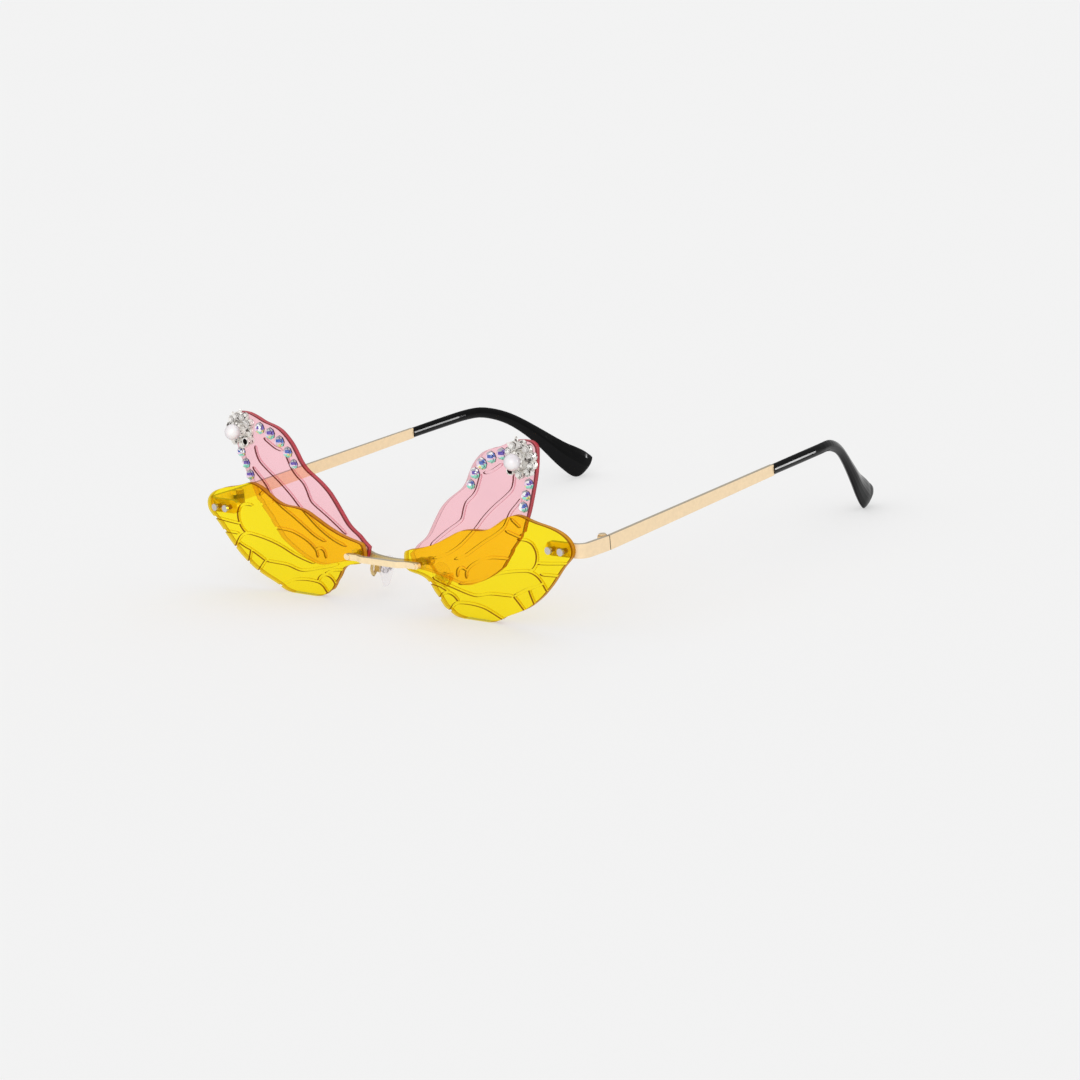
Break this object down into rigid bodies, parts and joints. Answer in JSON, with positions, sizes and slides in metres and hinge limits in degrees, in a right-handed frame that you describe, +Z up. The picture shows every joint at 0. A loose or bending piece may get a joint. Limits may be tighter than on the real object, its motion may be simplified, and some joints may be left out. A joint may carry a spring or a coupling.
{
  "type": "rimless sunglasses",
  "caption": "Rimless sunglasses with stacked wing-shaped lens sheets, stones and a pearl at each wing tip, folding strip temples and tilting nose pads.",
  "frame": {"origin": "middle of the bounding box in X and Y, at the plane the glasses stand on", "axes": "+X to the wearer's left, +Y back along the temples, +Z up"},
  "size_m": [0.142, 0.1524, 0.0512],
  "materials": {
    "lens_yellow": "clear yellow acrylic sheet, polished, edges darker amber",
    "lens_pink": "clear pink acrylic sheet, polished, edges crimson",
    "gold": "pale champagne gold plating, satin",
    "silver": "bright silver plating",
    "tip_black": "black acetate, glossy",
    "pad_clear": "clear soft pad, smooth",
    "clear_washer": "clear plastic washer",
    "crystal": "faceted glass with a rainbow coating",
    "clear_stone": "clear faceted glass",
    "pearl": "pearl coating, glossy"
  },
  "bodies": {
    "front": {"front_bridge_bar": "gold", "rear_bridge_bar": "gold", "left_lower_lens": "lens_yellow", "left_upper_lens": "lens_pink", "left_lens_washer": "clear_washer", "left_bridge_screw": "gold", "left_bridge_nut": "gold", "left_pad_arm": "gold", "left_pad_pin": "gold", "left_end_piece": "gold", "left_lens_rivets": "silver", "left_hinge_screw": "gold", "left_pearl_setting": "silver", "left_pearl": "pearl", "left_ring_stones": "clear_stone", "left_crystal_1": "crystal", "left_crystal_2": "crystal", "left_crystal_3": "crystal", "left_crystal_4": "crystal", "left_crystal_5": "crystal", "left_crystal_6": "crystal", "left_crystal_7": "crystal", "left_crystal_8": "crystal", "right_lower_lens": "lens_yellow", "right_upper_lens": "lens_pink", "right_lens_washer": "clear_washer", "right_bridge_screw": "gold", "right_bridge_nut": "gold", "right_pad_arm": "gold", "right_pad_pin": "gold", "right_end_piece": "gold", "right_lens_rivets": "silver", "right_hinge_screw": "gold", "right_pearl_setting": "silver", "right_pearl": "pearl", "right_ring_stones": "clear_stone", "right_crystal_1": "crystal", "right_crystal_2": "crystal", "right_crystal_3": "crystal", "right_crystal_4": "crystal", "right_crystal_5": "crystal", "right_crystal_6": "crystal", "right_crystal_7": "crystal", "right_crystal_8": "crystal"},
    "left_temple": {"left_temple": "gold", "left_temple_tip": "tip_black"},
    "right_temple": {"right_temple": "gold", "right_temple_tip": "tip_black"},
    "left_pad": {"left_nose_pad": "pad_clear", "left_pad_core": "silver"},
    "right_pad": {"right_nose_pad": "pad_clear", "right_pad_core": "silver"}
  },
  "joints": [
    {"name": "left_temple_hinge", "type": "hinge", "parent": "front", "child": "left_temple", "pos_m": [0.0685, -0.05944, 0.022], "axis": [0, 0, 1], "range_deg": [0, 86]},
    {"name": "right_temple_hinge", "type": "hinge", "parent": "front", "child": "right_temple", "pos_m": [-0.0685, -0.05944, 0.022], "axis": [0, 0, -1], "range_deg": [0, 79]},
    {"name": "left_pad_tilt", "type": "hinge", "parent": "front", "child": "left_pad", "pos_m": [0.01266, -0.0609, 0.00698], "axis": [0.0698, 0.9976, 0], "range_deg": [-10, 10]},
    {"name": "right_pad_tilt", "type": "hinge", "parent": "front", "child": "right_pad", "pos_m": [-0.01266, -0.0609, 0.00698], "axis": [-0.0698, 0.9976, 0], "range_deg": [-10, 10]}
  ]
}
